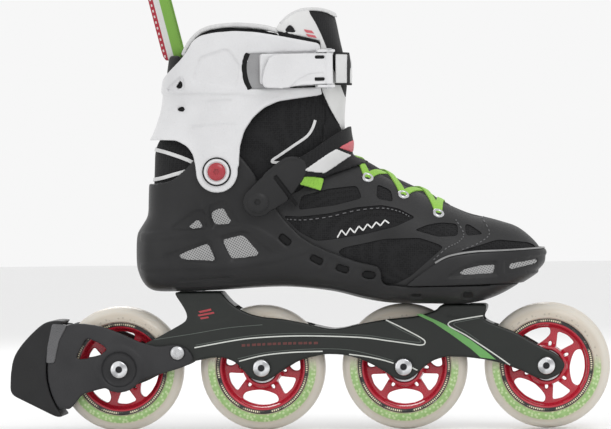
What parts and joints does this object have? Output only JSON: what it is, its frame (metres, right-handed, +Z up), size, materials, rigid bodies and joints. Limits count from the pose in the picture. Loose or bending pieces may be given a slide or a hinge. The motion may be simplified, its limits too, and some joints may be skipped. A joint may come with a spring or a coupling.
{
  "type": "inline skate",
  "caption": "Soft-boot inline skate with a hinged cuff, lever buckle, laces, wheels in a low frame and a heel brake.",
  "frame": {"origin": "on the ground under the middle of the skate's box, in the plane of the wheels", "axes": "+X to the toe, +Y to the inner side of the right foot, +Z up; the buckle is on the -Y side"},
  "size_m": [0.43, 0.1083, 0.3203],
  "materials": {
    "tyre": "translucent polyurethane, satin, with a printed green band",
    "hub": "glossy moulded red",
    "steel": "brushed",
    "bolt": "polished",
    "frame": "satin black with white pinstripes and a green stripe",
    "brake_plastic": "fine texture",
    "brake_rubber": "matte",
    "shell": "fine texture, satin edges",
    "upper_fabric": "woven mesh with smooth overlays",
    "liner_fabric": "padded knit",
    "tongue_cover": "smooth white cover with a black centre",
    "lace": "flat woven lime",
    "cuff": "satin white",
    "ankle_cap": "red cap in a white ring",
    "strap": "quilted webbing",
    "strap_bolt": "satin",
    "loop_webbing": "woven band in red, white and green"
  },
  "bodies": {
    "boot": {"frame": "frame", "frame_bolt_rear": "steel", "frame_bolt_front": "steel", "brake_housing": "brake_plastic", "brake_pad": "brake_rubber", "brake_pad_screw": "steel", "brake_bolt_outer": "bolt", "brake_bolt_inner": "bolt", "boot_shell": "shell", "toe_bumper": "shell", "upper": "upper_fabric", "liner": "liner_fabric", "tongue": "tongue_cover", "insole": "liner_fabric", "lace": "lace", "ankle_bolt_outer": "ankle_cap", "ankle_bolt_inner": "ankle_cap", "instep_strap": "strap", "strap_arm": "shell", "strap_tab": "lace", "strap_bolt_outer": "strap_bolt", "strap_bolt_inner": "strap_bolt", "axle_1": "bolt", "axle_2": "bolt", "axle_3": "bolt", "axle_4": "bolt"},
    "wheel_1": {"tyre_1": "tyre", "hub_1": "hub", "bearing_1_outer": "steel", "bearing_1_inner": "steel", "spacer_1": "steel"},
    "wheel_2": {"tyre_2": "tyre", "hub_2": "hub", "bearing_2_outer": "steel", "bearing_2_inner": "steel", "spacer_2": "steel"},
    "wheel_3": {"tyre_3": "tyre", "hub_3": "hub", "bearing_3_outer": "steel", "bearing_3_inner": "steel", "spacer_3": "steel"},
    "wheel_4": {"tyre_4": "tyre", "hub_4": "hub", "bearing_4_outer": "steel", "bearing_4_inner": "steel", "spacer_4": "steel"},
    "cuff": {"cuff": "cuff", "ladder_strap": "cuff", "band_screw": "steel", "buckle_base": "cuff", "buckle_pin": "steel", "heel_loop": "loop_webbing"},
    "lever": {"buckle_lever": "cuff"}
  },
  "joints": [
    {"name": "wheel_1_spin", "type": "hinge", "parent": "boot", "child": "wheel_1", "pos_m": [-0.136, 0, 0.045], "axis": [0, 1, 0], "continuous": true},
    {"name": "wheel_2_spin", "type": "hinge", "parent": "boot", "child": "wheel_2", "pos_m": [-0.034, 0, 0.045], "axis": [0, 1, 0], "continuous": true},
    {"name": "wheel_3_spin", "type": "hinge", "parent": "boot", "child": "wheel_3", "pos_m": [0.068, 0, 0.045], "axis": [0, 1, 0], "continuous": true},
    {"name": "wheel_4_spin", "type": "hinge", "parent": "boot", "child": "wheel_4", "pos_m": [0.17, 0, 0.045], "axis": [0, 1, 0], "continuous": true},
    {"name": "cuff_flex", "type": "hinge", "parent": "boot", "child": "cuff", "pos_m": [-0.062, 0, 0.186], "axis": [0, 1, 0], "range_deg": [0, 12], "stiffness_Nm_per_rad": 12, "deforming": ["liner", "tongue"]},
    {"name": "buckle_open", "type": "hinge", "parent": "cuff", "child": "lever", "pos_m": [0.01851, -0.04291, 0.2585], "axis": [0, 0, 1], "range_deg": [0, 100]}
  ]
}
